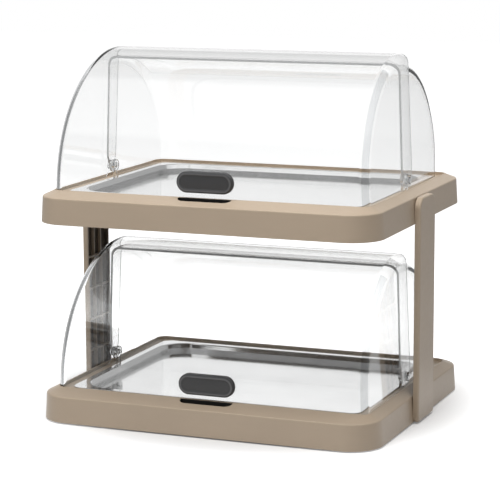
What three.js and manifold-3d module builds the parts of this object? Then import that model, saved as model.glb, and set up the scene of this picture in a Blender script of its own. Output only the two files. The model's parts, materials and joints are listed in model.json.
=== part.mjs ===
// Chilled roll-top display with two tiers, in millimetres, +Z up, front towards -Y.
// Each tier is a moulded base with a steel tray over two cooling packs, under a clear hood of
// two nested shells that turn about one pair of pivots. Ribbed channel posts on the left and
// right carry the upper tier. The origin is on the table, under the middle of the bases.
import * as THREE from "three";
import { mergeVertices } from "three/addons/utils/BufferGeometryUtils.js";
import Module from "manifold-3d";

const wasm = await Module();
wasm.setup();

// Gap kept between pieces that touch, and how far a cutter runs past what it cuts
const clearance = 0.3;
const overrun = 4;

// Smoothness of round stretches, in steps
const cornerSteps = 5;
const edgeSteps = 2;
const hoodArcSteps = 24;
const hoodCornerSteps = 3;
const roundSteps = 12;
const screwSteps = 8;

// Base moulding, measured from its bottom edge
const baseLength = 440;
const baseDepth = 374;
const baseCorner = 41;
const skirtHeight = 30.4;
const skirtDraft = 1.8;
const skirtWall = 2.6;
const edgeRadius = 2.4;
const edgeTurn = THREE.MathUtils.degToRad(70);
const rimHeight = 38.5;
const rimEndInset = 16.5;
const rimFrontInset = 29.5;
const rimCorner = 11.5;
const crestWidth = 1.2;
const crestEase = 0.3;
const seatDrop = 3.7;
const seatThickness = 2.4;
const grooveEase = 10;

// Tub under the tray
const tubFloorHeight = 3;
const tubFloorThickness = 2.4;
const tubWall = 2.4;
const tubDraft = 1.5;
const tubCorner = 18;
const stiffenerWall = 2;
const stiffenerHeight = 12;

// Finger recess in the front and rear of the rim
const recessLength = 68;
const recessReach = 12.5;
const recessCorner = 9;
const recessDepth = 17;
const recessWall = 2.2;
const recessCrest = 1.8;

// The two tiers
const footProud = 1.5;
const hoodHeadroom = 43.8;

// Hood shells: the front shell is the outer one, the rear shell nests inside it
const shellWall = 2.5;
const hoodEndGap = 1;
const hoodFrontGap = 1.5;
const hoodFlattening = 3.5;
const hoodCorner = 10;
const endDraft = 0.01;
const nestReach = 8;
const nestRise = 11;
const nestEnd = 2.5;
const shellOverlap = 14.5;
const earBlend = 20;
const earRadius = 9;

// Pivots, whose axis lies along X
const pivotAboveSeat = 15.2;
const pinRadius = 3;
const pinHeadRadius = 6;
const pinHeadThickness = 1.8;
const pinTip = 1;
const collarRadius = 6.5;
const bracketThickness = 3.5;
const bracketEyeRadius = 7.5;
const bracketFootWidth = 10;
const bracketPlug = 5;

// Handle and its screws
const handleLength = 72;
const handleHeight = 25.5;
const handleThickness = 7.5;
const handleAboveRim = 6;
const handleRound = 3;
const handleCrown = 0.8;
const handleScrewInset = 14;
const handleScrewRadius = 1.6;
const handleScrewHeadRadius = 3.6;
const handleScrewHead = 1.5;
const handleScrewLength = 6.5;

// Steel tray
const trayThickness = 0.9;
const trayCorner = 14;
const trayLip = 8;
const trayRearGap = 0.5;
const trayEndGap = 0.9;
const trayTubGap = 1.6;
const trayRecess = 10;
const trayWallRun = 5;
const trayBend = 2;

// Cooling packs and their filler caps
const packCorner = 12;
const packEdge = 4;
const packGap = 3;
const packTrayGap = 0.5;
const packDepthSpare = 14;
const capRadius = 11;
const capHeight = 5;
const capGripDepth = 2;
const capGripWidth = 4;
const capInset = 22;

// Posts
const postWidth = 62;
const postCorner = 14;
const postOutset = 7;
const postReveal = 0.5;
const postWall = 2.6;
const postWeb = 2.4;
const postRound = 2.5;
const postFootGap = 0.5;
const postTopGap = 1;
const postRib = 2;
const postRibRecess = 1.2;
const postBays = 6;
const postScrewHeight = 13;
const postScrewSpread = 38;
const postScrewRadius = 1.6;
const postScrewHeadRadius = 3.6;
const postScrewHead = 2;
const postScrewBite = 4;
const postBossRadius = 4.4;

// Rubber feet
const footRadius = 10;
const footTaper = 1;
const footInset = 18;

// Materials
const taupe = new THREE.MeshStandardMaterial({ color: "#a69785", roughness: 0.45, metalness: 0 });
const steel = new THREE.MeshStandardMaterial({ color: "#c9c9c9", roughness: 0.28, metalness: 1 });
const clearPlastic = new THREE.MeshStandardMaterial({
  color: "#f3f6f7",
  roughness: 0.06,
  metalness: 0,
  transparent: true,
  opacity: 0.25,
});
const handleBlack = new THREE.MeshStandardMaterial({ color: "#3c3c3e", roughness: 0.5, metalness: 0 });
const packBlue = new THREE.MeshStandardMaterial({ color: "#5f8fb8", roughness: 0.4, metalness: 0 });
const capWhite = new THREE.MeshStandardMaterial({ color: "#e8e8e6", roughness: 0.45, metalness: 0 });
const screwSteel = new THREE.MeshStandardMaterial({ color: "#b4b6b8", roughness: 0.35, metalness: 1 });
const rubber = new THREE.MeshStandardMaterial({ color: "#2b2b2b", roughness: 0.9, metalness: 0 });

// Sizes and places worked out from the ones above
const rimLength = baseLength - rimEndInset * 2;
const rimDepth = baseDepth - rimFrontInset * 2;
const seatHeight = rimHeight - seatDrop;
const pivotHeight = seatHeight + pivotAboveSeat;
const shellFoot = clearance - pivotAboveSeat;
const hoodReach = rimDepth / 2 - hoodFrontGap;
const frontShell = {
  reach: hoodReach,
  rise: hoodReach - hoodFlattening,
  halfLength: rimLength / 2 - hoodEndGap,
};
const rearShell = {
  reach: frontShell.reach - nestReach,
  rise: frontShell.rise - nestRise,
  halfLength: frontShell.halfLength - shellWall - nestEnd,
};
const tierPitch = pivotHeight + frontShell.rise + hoodHeadroom;
const tierFloors = { lower: footProud, upper: footProud + tierPitch };
const bracketOuter = rearShell.halfLength - shellWall - clearance;
const bracketInner = bracketOuter - bracketThickness;
const trayHalfLength = bracketInner - clearance - trayEndGap;
const trayHalfDepth = rearShell.reach - shellWall - trayRearGap;
const tubHalfLength = trayHalfLength - trayLip;
const tubHalfDepth = trayHalfDepth - trayLip;
const tubFloorTop = tubFloorHeight + tubFloorThickness;
const trayTop = seatHeight + clearance + trayThickness;
const trayFloorUnder = trayTop - trayRecess - trayThickness;
const postInner = baseLength / 2 - postReveal;
const postOuter = baseLength / 2 + postOutset;
const postBottom = tierFloors.lower + postFootGap;
const postTop = tierFloors.upper + skirtHeight + edgeRadius - postTopGap;
const handleScrewPitch = handleLength - handleScrewInset * 2;
const handleCentre = rimHeight + handleAboveRim + handleHeight / 2 - pivotHeight;

// Turns local Z, along which sections are stacked, into world X, and local X and Y into Y and Z
const alongX = new THREE.Matrix4().makeBasis(
  new THREE.Vector3(0, 1, 0),
  new THREE.Vector3(0, 0, 1),
  new THREE.Vector3(1, 0, 0),
);

// Turns local Z into world -Y, so that sections are stacked from the back to the front
const alongFront = new THREE.Matrix4().makeBasis(
  new THREE.Vector3(1, 0, 0),
  new THREE.Vector3(0, 0, 1),
  new THREE.Vector3(0, -1, 0),
);

// A solid for cutting and joining, made from a closed geometry
function solidOf(geometry) {
  const bare = new THREE.BufferGeometry();
  bare.setAttribute("position", geometry.getAttribute("position"));
  bare.setIndex(geometry.getIndex());
  const merged = mergeVertices(bare);
  return new wasm.Manifold(new wasm.Mesh({
    numProp: 3,
    vertProperties: Float32Array.from(merged.getAttribute("position").array),
    triVerts: Uint32Array.from(merged.getIndex().array),
  }));
}

// The geometry of a finished solid
function geometryOf(solid) {
  const mesh = solid.getMesh();
  const geometry = new THREE.BufferGeometry();
  geometry.setAttribute("position", new THREE.BufferAttribute(mesh.vertProperties, 3));
  geometry.setIndex(new THREE.BufferAttribute(mesh.triVerts, 1));
  geometry.computeVertexNormals();
  return geometry;
}

// A rounded rectangle seen from above, anticlockwise, at one height
function ring(halfLength, halfDepth, corner, height) {
  const points = [];
  const sides = [[1, 1], [-1, 1], [-1, -1], [1, -1]];
  sides.forEach(([sideX, sideY], quarter) => {
    for (let step = 0; step <= cornerSteps; step += 1) {
      const angle = (quarter + step / cornerSteps) * Math.PI / 2;
      points.push(new THREE.Vector3(
        sideX * (halfLength - corner) + corner * Math.cos(angle),
        sideY * (halfDepth - corner) + corner * Math.sin(angle),
        height,
      ));
    }
  });
  return points;
}

// A closed skin through stacked outlines of equal count, with a fan over each end
function loft(rings) {
  const count = rings[0].length;
  const points = rings.flat();
  const index = [];
  for (let level = 0; level + 1 < rings.length; level += 1) {
    for (let spot = 0; spot < count; spot += 1) {
      const here = level * count + spot;
      const next = level * count + (spot + 1) % count;
      index.push(here, next, next + count, here, next + count, here + count);
    }
  }
  for (const [level, order] of [[0, -1], [rings.length - 1, 1]]) {
    const middle = new THREE.Vector3();
    rings[level].forEach((point) => middle.addScaledVector(point, 1 / count));
    points.push(middle);
    for (let spot = 0; spot < count; spot += 1) {
      const here = level * count + spot;
      const next = level * count + (spot + 1) % count;
      const edge = order > 0 ? [here, next] : [next, here];
      index.push(points.length - 1, ...edge);
    }
  }
  const geometry = new THREE.BufferGeometry().setFromPoints(points);
  geometry.setIndex(index);
  return geometry;
}

// A cylinder along X between two places
function rodAlongX(radius, from, to, y, z) {
  const geometry = new THREE.CylinderGeometry(radius, radius, to - from, roundSteps);
  geometry.rotateZ(-Math.PI / 2);
  geometry.translate((from + to) / 2, y, z);
  return geometry;
}

// A cylinder along Y between two places
function rodAlongY(radius, from, to, x, z) {
  const geometry = new THREE.CylinderGeometry(radius, radius, to - from, roundSteps);
  geometry.translate(x, (from + to) / 2, z);
  return geometry;
}

// A box between two corners
function boxBetween(low, high) {
  const geometry = new THREE.BoxGeometry(high[0] - low[0], high[1] - low[1], high[2] - low[2]);
  geometry.translate((low[0] + high[0]) / 2, (low[1] + high[1]) / 2, (low[2] + high[2]) / 2);
  return geometry;
}

// How far the skirt's outer face leans in at a height above the base's bottom
function skirtInsetAt(height) {
  return skirtDraft * Math.min(height, skirtHeight) / skirtHeight;
}

// The base's skin as rounded rectangles, from under the tub outwards, up, and into the tub
function baseRings() {
  const halfLength = baseLength / 2;
  const halfDepth = baseDepth / 2;
  const rimHalfLength = rimLength / 2;
  const rimHalfDepth = rimDepth / 2;
  const skirt = (inset, height) => ring(
    halfLength - inset,
    halfDepth - inset,
    baseCorner - inset,
    height,
  );
  const rim = (outset, height) => ring(
    rimHalfLength + outset,
    rimHalfDepth + outset,
    rimCorner + outset,
    height,
  );
  const tub = (outset, height) => ring(
    tubHalfLength + outset,
    tubHalfDepth + outset,
    tubCorner + outset,
    height,
  );
  const seatUnder = seatHeight - seatThickness;
  const rings = [
    tub(tubWall - tubDraft, tubFloorHeight),
    tub(tubWall, seatUnder),
    rim(-stiffenerWall - clearance, seatUnder),
    rim(-stiffenerWall, seatUnder - stiffenerHeight),
    rim(0, seatUnder - stiffenerHeight),
    rim(clearance, seatUnder),
    skirt(skirtWall + skirtDraft + grooveEase / 2, seatUnder - seatThickness),
    skirt(skirtWall + skirtDraft, skirtHeight - skirtWall),
    skirt(skirtWall, 0),
    skirt(0, 0),
    skirt(skirtDraft, skirtHeight),
  ];
  for (let step = 1; step <= edgeSteps; step += 1) {
    const angle = edgeTurn * step / edgeSteps;
    rings.push(skirt(
      skirtDraft + edgeRadius * (1 - Math.cos(angle)),
      skirtHeight + edgeRadius * Math.sin(angle),
    ));
  }
  rings.push(
    rim(crestWidth, rimHeight - crestEase),
    rim(crestWidth - crestEase, rimHeight),
    rim(crestEase, rimHeight),
    rim(0, rimHeight - crestEase),
    rim(0, seatHeight),
    tub(tubDraft / 2, seatHeight),
    tub(0, seatHeight - tubDraft / 2),
    tub(-tubDraft, tubFloorTop),
  );
  return rings;
}

// A finger recess seen from above: straight along the hood, round towards the outside
function recessGeometry(grow, bottom, top) {
  const half = recessLength / 2 + grow;
  const near = rimDepth / 2 + recessCrest - grow;
  const far = rimDepth / 2 + recessReach + grow;
  const corner = recessCorner + grow;
  const shape = new THREE.Shape();
  shape.moveTo(-half, near);
  shape.lineTo(half, near);
  shape.lineTo(half, far - corner);
  shape.absarc(half - corner, far - corner, corner, 0, Math.PI / 2, false);
  shape.absarc(corner - half, far - corner, corner, Math.PI / 2, Math.PI, false);
  const geometry = new THREE.ExtrudeGeometry(shape, {
    depth: top - bottom,
    bevelEnabled: false,
    curveSegments: cornerSteps,
  });
  geometry.translate(0, 0, bottom);
  return geometry;
}

// The base of one tier, with its finger recesses, bracket slots and post screw holes
function baseGeometry() {
  let base = solidOf(loft(baseRings()));
  const recessBottom = rimHeight - recessDepth;
  const walls = recessGeometry(recessWall, recessBottom - recessWall, seatHeight - seatThickness / 2);
  const hollow = recessGeometry(0, recessBottom, rimHeight + overrun);
  for (const turn of [0, Math.PI]) {
    base = base.add(solidOf(walls.clone().rotateZ(turn)));
    base = base.subtract(solidOf(hollow.clone().rotateZ(turn)));
  }
  for (const side of [-1, 1]) {
    const slotLow = Math.min(side * (bracketInner - clearance), side * (bracketOuter + clearance));
    const slotHigh = Math.max(side * (bracketInner - clearance), side * (bracketOuter + clearance));
    const slotHalf = bracketFootWidth / 2 + clearance;
    base = base.subtract(solidOf(boxBetween(
      [slotLow, -slotHalf, seatHeight - seatThickness - overrun],
      [slotHigh, slotHalf, seatHeight + overrun],
    )));
    for (const end of [-1, 1]) {
      const near = baseLength / 2 - skirtWall - skirtDraft - overrun;
      const far = baseLength / 2 + overrun;
      base = base.subtract(solidOf(rodAlongX(
        postScrewRadius + clearance,
        Math.min(side * near, side * far),
        Math.max(side * near, side * far),
        end * postScrewSpread / 2,
        postScrewHeight,
      )));
    }
  }
  return geometryOf(base);
}

// The outer skin of a base grown by a gap, which the posts are cut back by
function baseEnvelope(gap) {
  const halfLength = baseLength / 2 + gap;
  const halfDepth = baseDepth / 2 + gap;
  return solidOf(loft([
    ring(halfLength, halfDepth, baseCorner + gap, -gap),
    ring(halfLength - skirtDraft, halfDepth - skirtDraft, baseCorner + gap - skirtDraft, skirtHeight),
    ring(
      halfLength - skirtDraft - edgeRadius,
      halfDepth - skirtDraft - edgeRadius,
      baseCorner + gap - skirtDraft - edgeRadius,
      skirtHeight + edgeRadius + gap,
    ),
  ]));
}

// The right-hand post: a channel, open towards the bases, with a grid of ribs and screw bosses
function postGeometry() {
  const halfWidth = postWidth / 2;
  const halfHeight = (postTop - postBottom) / 2;
  const middle = (postTop + postBottom) / 2;
  const section = (inset, along) => ring(
    halfWidth - inset,
    halfHeight - inset,
    postCorner - inset,
    along,
  );
  const rings = [section(0, postInner)];
  for (let step = 0; step <= edgeSteps; step += 1) {
    const angle = step / edgeSteps * Math.PI / 2;
    rings.push(section(
      postRound * (1 - Math.cos(angle)),
      postOuter - postRound * (1 - Math.sin(angle)),
    ));
  }
  const place = (sections) => solidOf(loft(sections).applyMatrix4(alongX).translate(0, 0, middle));
  const webFace = postOuter - postWeb;
  const hollow = place([section(postWall, postInner - overrun), section(postWall, webFace)]);
  let post = place(rings).subtract(hollow);

  const ribFace = postInner + postRibRecess;
  const ribSpots = [-1, 1].map((side) => side * (halfWidth - postWall) / 3);
  for (const y of ribSpots) {
    const rib = boxBetween(
      [ribFace, y - postRib / 2, postBottom + postWall / 2],
      [webFace + postWeb / 2, y + postRib / 2, postTop - postWall / 2],
    );
    post = post.add(solidOf(rib));
  }
  const firstScrew = tierFloors.lower + postScrewHeight;
  for (let bay = 0; bay <= postBays; bay += 1) {
    const z = firstScrew + tierPitch * bay / postBays;
    const rib = boxBetween(
      [ribFace, -halfWidth + postWall / 2, z - postRib / 2],
      [webFace + postWeb / 2, halfWidth - postWall / 2, z + postRib / 2],
    );
    post = post.add(solidOf(rib));
  }
  for (const z of [firstScrew, firstScrew + tierPitch]) {
    for (const end of [-1, 1]) {
      const y = end * postScrewSpread / 2;
      const boss = rodAlongX(postBossRadius, postInner, webFace + postWeb / 2, y, z);
      const pilotEnd = postOuter - postWeb / 2;
      const pilot = rodAlongX(postScrewRadius + clearance, postInner - overrun, pilotEnd, y, z);
      post = post.add(solidOf(boss)).subtract(solidOf(pilot));
    }
  }
  for (const floor of Object.values(tierFloors)) {
    post = post.subtract(baseEnvelope(clearance).translate([0, 0, floor]));
  }
  return geometryOf(post);
}

// A full hood body about the pivots, with rounded ends and slightly leaning end walls
function hoodBody(reach, rise, halfLength, corner, foot) {
  const rings = [];
  for (const side of [-1, 1]) {
    for (let step = 0; step <= hoodCornerSteps; step += 1) {
      const share = side < 0 ? step / hoodCornerSteps : 1 - step / hoodCornerSteps;
      const inset = corner * (1 - Math.sin(share * Math.PI / 2));
      const end = halfLength - corner * (1 - Math.cos(share * Math.PI / 2));
      const section = [new THREE.Vector2(reach - inset, foot)];
      for (let arc = 0; arc <= hoodArcSteps; arc += 1) {
        const angle = arc / hoodArcSteps * Math.PI;
        section.push(new THREE.Vector2(
          (reach - inset) * Math.cos(angle),
          (rise - inset) * Math.sin(angle),
        ));
      }
      section.push(new THREE.Vector2(inset - reach, foot));
      rings.push(section.map(({ x, y }) => new THREE.Vector3(x, y, side * (end - endDraft * y))));
    }
  }
  return solidOf(loft(rings).applyMatrix4(alongX));
}

// The part of a full hood that a shell keeps: everything to one side of its straight edge,
// with a round ear at the pivot. Front is -1 for the front shell and 1 for the rear shell.
function shellRegion(front) {
  const far = frontShell.reach * 2;
  const shape = new THREE.Shape();
  shape.moveTo(-front * shellOverlap, far);
  shape.lineTo(-front * shellOverlap, earBlend);
  shape.lineTo(-front * earRadius, 0);
  const [from, to] = front < 0 ? [0, -Math.PI * 2 / 3] : [Math.PI, Math.PI * 5 / 3];
  shape.absarc(0, 0, earRadius, from, to, front < 0);
  shape.lineTo(front * (earRadius + earBlend / 2), shellFoot);
  shape.lineTo(front * far, shellFoot);
  shape.lineTo(front * far, far);
  const halfLength = frontShell.halfLength + overrun;
  const geometry = new THREE.ExtrudeGeometry(shape, {
    depth: halfLength * 2,
    bevelEnabled: false,
    curveSegments: roundSteps / 2,
  });
  return solidOf(geometry.translate(0, 0, -halfLength).applyMatrix4(alongX));
}

// One clear shell with its pivot holes, placed about the pivot axis
function shellSolid(size, front) {
  const cutFoot = shellFoot - overrun;
  const outside = hoodBody(size.reach, size.rise, size.halfLength, hoodCorner, shellFoot);
  const inside = hoodBody(
    size.reach - shellWall,
    size.rise - shellWall,
    size.halfLength - shellWall,
    hoodCorner - shellWall,
    cutFoot,
  );
  const length = size.halfLength + overrun;
  const bore = solidOf(rodAlongX(pinRadius + clearance, -length, length, 0, 0));
  return outside.subtract(inside).intersect(shellRegion(front)).subtract(bore);
}

// How far a shell's inner face stands from the pivot axis along Y at a height above that axis
function innerFaceAt(size, height) {
  const share = height / (size.rise - shellWall);
  return (size.reach - shellWall) * Math.sqrt(1 - share * share);
}

// The front shell, with two holes for the handle's screws
function frontShellGeometry() {
  let shell = shellSolid(frontShell, -1);
  for (const side of [-1, 1]) {
    shell = shell.subtract(solidOf(rodAlongY(
      handleScrewRadius + clearance,
      -frontShell.reach - overrun,
      -frontShell.reach + shellWall + overrun,
      side * handleScrewPitch / 2,
      handleCentre,
    )));
  }
  return geometryOf(shell);
}

// The rear shell, with a collar at each pivot that keeps it clear of the front shell
function rearShellGeometry() {
  let shell = shellSolid(rearShell, 1);
  const from = rearShell.halfLength - shellWall / 2;
  const to = rearShell.halfLength + nestEnd - clearance;
  for (const side of [-1, 1]) {
    const low = Math.min(side * from, side * to);
    const high = Math.max(side * from, side * to);
    shell = shell.add(solidOf(rodAlongX(collarRadius, low, high, 0, 0)));
    shell = shell.subtract(solidOf(rodAlongX(
      pinRadius + clearance,
      low - overrun,
      high + overrun,
      0,
      0,
    )));
  }
  return geometryOf(shell);
}

// A pivot bracket: an eye on a tapered leg that plugs into a slot in the base's seat
function bracketGeometry() {
  const lean = Math.acos(bracketFootWidth / 2 / pivotAboveSeat);
  const start = -Math.PI / 2 + (Math.PI / 2 - lean);
  const shape = new THREE.Shape();
  shape.moveTo(-bracketFootWidth / 2, -pivotAboveSeat - bracketPlug);
  shape.lineTo(bracketFootWidth / 2, -pivotAboveSeat - bracketPlug);
  shape.lineTo(bracketFootWidth / 2, -pivotAboveSeat);
  shape.absarc(0, 0, bracketEyeRadius, start, Math.PI - start, false);
  shape.lineTo(-bracketFootWidth / 2, -pivotAboveSeat);
  const hole = new THREE.Path();
  hole.absarc(0, 0, pinRadius + clearance, 0, Math.PI * 2, true);
  shape.holes.push(hole);
  const geometry = new THREE.ExtrudeGeometry(shape, {
    depth: bracketThickness,
    bevelEnabled: false,
    curveSegments: roundSteps / 2,
  });
  return geometry.translate(0, 0, bracketInner).applyMatrix4(alongX);
}

// A pivot pin with a domed head outside the front shell and a tapered tip inside the bracket
function pinGeometry() {
  const headFace = frontShell.halfLength + clearance;
  const headEnd = headFace + pinHeadThickness;
  const tipEnd = bracketInner - pinTip;
  const profile = [
    new THREE.Vector2(0, tipEnd),
    new THREE.Vector2(pinRadius - pinTip, tipEnd),
    new THREE.Vector2(pinRadius, bracketInner),
    new THREE.Vector2(pinRadius, headFace),
    new THREE.Vector2(pinHeadRadius, headFace),
    new THREE.Vector2(pinHeadRadius, headFace + pinHeadThickness / 2),
    new THREE.Vector2(pinHeadRadius - pinHeadThickness, headEnd),
    new THREE.Vector2(0, headEnd),
  ];
  const geometry = new THREE.LatheGeometry(profile, roundSteps);
  return geometry.rotateZ(-Math.PI / 2);
}

// The handle: a stadium with a softly domed face, its back shaped to the front shell
function handleGeometry() {
  const halfLength = handleLength / 2;
  const halfHeight = handleHeight / 2;
  const section = (inset, along) => ring(
    halfLength - inset,
    halfHeight - inset,
    halfHeight - inset,
    along,
  );
  const face = frontShell.reach + handleThickness;
  const rings = [section(0, frontShell.reach - shellWall * 2)];
  for (let step = 0; step <= edgeSteps; step += 1) {
    const angle = step / edgeSteps * Math.PI / 2;
    rings.push(section(
      handleRound * (1 - Math.cos(angle)),
      face - handleCrown - handleRound * (1 - Math.sin(angle)),
    ));
  }
  rings.push(section((handleRound + halfHeight) / 2, face));
  let handle = solidOf(loft(rings).applyMatrix4(alongFront).translate(0, 0, handleCentre));
  handle = handle.subtract(hoodBody(
    frontShell.reach + clearance,
    frontShell.rise + clearance,
    frontShell.halfLength,
    hoodCorner,
    shellFoot - overrun,
  ));
  for (const side of [-1, 1]) {
    handle = handle.subtract(solidOf(rodAlongY(
      handleScrewRadius + clearance,
      -frontShell.reach + shellWall - handleScrewLength - clearance,
      -frontShell.reach + overrun,
      side * handleScrewPitch / 2,
      handleCentre,
    )));
  }
  return geometryOf(handle);
}

// A pan-head screw along +Z, its head below the origin and its shank above
function screwGeometry(radius, length, headRadius, head) {
  const profile = [
    new THREE.Vector2(0, -head),
    new THREE.Vector2(headRadius / 2, -head),
    new THREE.Vector2(headRadius, -head / 2),
    new THREE.Vector2(headRadius, 0),
    new THREE.Vector2(radius, 0),
    new THREE.Vector2(radius, length - radius),
    new THREE.Vector2(0, length),
  ];
  return new THREE.LatheGeometry(profile, screwSteps).rotateX(Math.PI / 2);
}

// The pressed steel tray: a flat lip, rounded bends, sloping walls and a flat floor
function trayGeometry() {
  const wallTop = trayTubGap;
  const lip = (inset, height) => ring(
    trayHalfLength - inset,
    trayHalfDepth - inset,
    trayCorner - inset,
    height,
  );
  const well = (inset, height) => ring(
    tubHalfLength - wallTop - inset,
    tubHalfDepth - wallTop - inset,
    tubCorner - inset / 2,
    height,
  );
  const bend = trayBend / 2;
  const floorTop = trayTop - trayRecess;
  return loft([
    well(trayWallRun + bend, trayFloorUnder),
    well(trayWallRun - bend, trayFloorUnder + bend / 2),
    well(bend / 2, trayTop - trayThickness - bend),
    well(-bend / 2, trayTop - trayThickness),
    lip(0, trayTop - trayThickness),
    lip(0, trayTop - trayThickness / 2),
    lip(trayThickness / 2, trayTop),
    well(trayThickness / 2, trayTop),
    well(trayThickness + bend / 2, trayTop - bend / 2),
    well(trayWallRun, floorTop + bend),
    well(trayWallRun + bend + trayThickness, floorTop),
  ]);
}

const packHalfLength = (tubHalfLength - tubDraft - packGap * 3 / 2) / 2;
const packHalfDepth = tubHalfDepth - tubDraft - packDepthSpare;
const packBottom = tubFloorTop + clearance;
const packTop = trayFloorUnder - packTrayGap;
const capSpot = [packHalfLength - capInset, capInset - packHalfDepth];

// One cooling pack with rounded edges and a pocket for its filler cap
function packGeometry() {
  const rings = [];
  for (const side of [-1, 1]) {
    for (let step = 0; step <= edgeSteps; step += 1) {
      const share = side < 0 ? step / edgeSteps : 1 - step / edgeSteps;
      const inset = packEdge * (1 - Math.sin(share * Math.PI / 2));
      const drop = packEdge * (1 - Math.cos(share * Math.PI / 2));
      const height = side < 0 ? packBottom + drop : packTop - drop;
      rings.push(ring(packHalfLength - inset, packHalfDepth - inset, packCorner - inset, height));
    }
  }
  const pocketDepth = capHeight + clearance;
  const pocket = new THREE.CylinderGeometry(
    capRadius + clearance,
    capRadius + clearance,
    pocketDepth + overrun,
    roundSteps,
  );
  pocket.rotateX(Math.PI / 2);
  pocket.translate(...capSpot, packTop - pocketDepth + (pocketDepth + overrun) / 2);
  return geometryOf(solidOf(loft(rings)).subtract(solidOf(pocket)));
}

// The pack's filler cap with a finger bar across a sunk top
function capGeometry() {
  const body = new THREE.CylinderGeometry(capRadius, capRadius, capHeight, roundSteps);
  body.rotateX(Math.PI / 2);
  body.translate(0, 0, capHeight / 2);
  let cap = solidOf(body);
  const sunk = new THREE.CylinderGeometry(
    capRadius - capGripDepth,
    capRadius - capGripDepth,
    capGripDepth + overrun,
    roundSteps,
  );
  sunk.rotateX(Math.PI / 2);
  sunk.translate(0, 0, capHeight - capGripDepth + (capGripDepth + overrun) / 2);
  const bar = boxBetween(
    [-capRadius + capGripDepth / 2, -capGripWidth / 2, capHeight / 2],
    [capRadius - capGripDepth / 2, capGripWidth / 2, capHeight],
  );
  cap = cap.subtract(solidOf(sunk)).add(solidOf(bar));
  return geometryOf(cap).translate(...capSpot, packTop - capHeight);
}

// A tapered rubber foot that stands under the tub's floor
function footGeometry() {
  const height = footProud + tubFloorHeight - clearance;
  const profile = [
    new THREE.Vector2(0, 0),
    new THREE.Vector2(footRadius - footTaper / 2, 0),
    new THREE.Vector2(footRadius, footTaper / 2),
    new THREE.Vector2(footRadius - footTaper, height),
    new THREE.Vector2(0, height),
  ];
  return new THREE.LatheGeometry(profile, roundSteps).rotateX(Math.PI / 2);
}

// Puts a named piece into a group
function addPiece(group, name, geometry, material) {
  const mesh = new THREE.Mesh(geometry, material);
  mesh.name = name;
  group.add(mesh);
  return mesh;
}

// One hood: brackets, pins, both shells and the handle, about its own pivot axis
function addHood(tier, name) {
  const hood = new THREE.Group();
  hood.position.z = pivotHeight;
  tier.add(hood);
  addPiece(hood, `${name}_front_shell`, frontShellGeometry(), clearPlastic);
  addPiece(hood, `${name}_rear_shell`, rearShellGeometry(), clearPlastic);
  addPiece(hood, `${name}_handle`, handleGeometry(), handleBlack);
  for (const [word, side] of [["left", -1], ["right", 1]]) {
    const turn = side < 0 ? Math.PI : 0;
    addPiece(hood, `${name}_${word}_pivot_bracket`, bracketGeometry(), clearPlastic).rotation.z = turn;
    addPiece(hood, `${name}_${word}_pivot_pin`, pinGeometry(), clearPlastic).rotation.z = turn;
    const screw = addPiece(
      hood,
      `${name}_${word}_handle_screw`,
      screwGeometry(handleScrewRadius, handleScrewLength, handleScrewHeadRadius, handleScrewHead),
      screwSteel,
    );
    screw.rotation.x = Math.PI / 2;
    const seat = clearance - innerFaceAt(frontShell, handleCentre + handleScrewHeadRadius);
    screw.position.set(side * handleScrewPitch / 2, seat, handleCentre);
  }
}

// One tier: base, tray, cooling packs and hood
function addTier(display, name) {
  const tier = new THREE.Group();
  tier.position.z = tierFloors[name];
  display.add(tier);
  addPiece(tier, `${name}_base`, baseGeometry(), taupe);
  addPiece(tier, `${name}_tray`, trayGeometry(), steel);
  for (const [word, side] of [["left", -1], ["right", 1]]) {
    const pack = new THREE.Group();
    pack.position.x = side * (packHalfLength + packGap / 2);
    pack.rotation.z = side < 0 ? 0 : Math.PI;
    tier.add(pack);
    addPiece(pack, `${name}_${word}_cold_pack`, packGeometry(), packBlue);
    addPiece(pack, `${name}_${word}_pack_cap`, capGeometry(), capWhite);
  }
  addHood(tier, name);
}

// The posts on both sides, and the screws that hold them to the bases
function addPosts(display) {
  for (const [word, side] of [["left", -1], ["right", 1]]) {
    const post = new THREE.Group();
    post.rotation.z = side < 0 ? Math.PI : 0;
    display.add(post);
    addPiece(post, `${word}_post`, postGeometry(), taupe);
    for (const [tier, floor] of Object.entries(tierFloors)) {
      for (const [end, way] of [["front", -1], ["rear", 1]]) {
        const headFace = baseLength / 2 - skirtInsetAt(postScrewHeight) - skirtWall - clearance;
        const length = postInner + postScrewBite - headFace;
        const screw = addPiece(
          post,
          `${tier}_${word}_${end}_post_screw`,
          screwGeometry(postScrewRadius, length, postScrewHeadRadius, postScrewHead),
          screwSteel,
        );
        screw.rotation.y = Math.PI / 2;
        const reach = side * way * postScrewSpread / 2;
        screw.position.set(headFace, reach, floor + postScrewHeight);
      }
    }
  }
}

// Four rubber feet under the lower base's tub
function addFeet(display) {
  for (const [end, way] of [["front", -1], ["rear", 1]]) {
    for (const [word, side] of [["left", -1], ["right", 1]]) {
      const foot = addPiece(display, `${end}_${word}_foot`, footGeometry(), rubber);
      foot.position.x = side * (tubHalfLength - footInset);
      foot.position.y = way * (tubHalfDepth - footInset);
    }
  }
}

const display = new THREE.Group();
addTier(display, "lower");
addTier(display, "upper");
addPosts(display);
addFeet(display);

export default display;
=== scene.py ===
"""Looks of the two-tier chilled roll-top display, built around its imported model.

Everything is in metres in the model's own frame: +Z up, front towards -Y. Small lengths are
written in millimetres and multiplied by MM.
"""

import json
import math
from collections import namedtuple

import bmesh
import bpy
from mathutils import Matrix, Vector


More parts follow.
